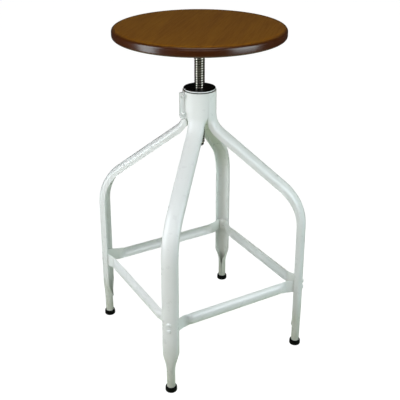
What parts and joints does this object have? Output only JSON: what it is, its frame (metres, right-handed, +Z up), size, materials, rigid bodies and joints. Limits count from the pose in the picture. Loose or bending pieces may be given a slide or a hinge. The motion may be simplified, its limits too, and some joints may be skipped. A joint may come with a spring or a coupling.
{
  "type": "adjustable swivel stool",
  "caption": "Round wooden seat on a screw spindle that turns and rises in a collar, on splayed pressed-channel legs tied by stretchers.",
  "frame": {"origin": "on the floor under the spindle's axis", "axes": "+Z up along the spindle, legs on the diagonals, front at -Y, clamp ears at -X"},
  "size_m": [0.3542, 0.3542, 0.728],
  "materials": {
    "stained_wood": "stained brown, satin varnish",
    "white_paint": "white gloss powder coat",
    "dark_steel": "dark oiled steel",
    "spindle_steel": "dark steel, bright thread crests",
    "zinc": "zinc plated",
    "black_plastic": "satin black",
    "black_rubber": "matte black"
  },
  "bodies": {
    "base": {"top_cap": "black_plastic", "collar_ring": "white_paint", "nut_tube": "dark_steel", "spindle_nut": "zinc", "leg_front_left": "white_paint", "leg_front_right": "white_paint", "leg_rear_right": "white_paint", "leg_rear_left": "white_paint", "clamp_bolts": "white_paint", "clamp_washers": "white_paint", "clamp_nuts": "white_paint", "stretcher_front": "white_paint", "stretcher_right": "white_paint", "stretcher_rear": "white_paint", "stretcher_left": "white_paint", "rivets_front_left": "white_paint", "rivets_front_right": "white_paint", "rivets_rear_right": "white_paint", "rivets_rear_left": "white_paint", "foot_front_left": "black_rubber", "foot_front_right": "black_rubber", "foot_rear_right": "black_rubber", "foot_rear_left": "black_rubber"},
    "lift": {"buffer_ring": "black_rubber"},
    "seat_assembly": {"seat": "stained_wood", "seat_plate": "dark_steel", "plate_screws": "zinc", "spindle_boss": "dark_steel", "spindle": "spindle_steel"}
  },
  "joints": [
    {"name": "seat_lift", "type": "slide", "parent": "base", "child": "lift", "axis": [0, 0, 1], "range_m": [-0.0702, 0.0702]},
    {"name": "seat_turn", "type": "hinge", "parent": "lift", "child": "seat_assembly", "pos_m": [0, 0, 0.6], "axis": [0, 0, 1], "range_deg": [-5040, 5040]}
  ],
  "couplings": [
    {"joint": "seat_lift", "follows": "seat_turn", "m_per_rad": 0.00079577}
  ]
}
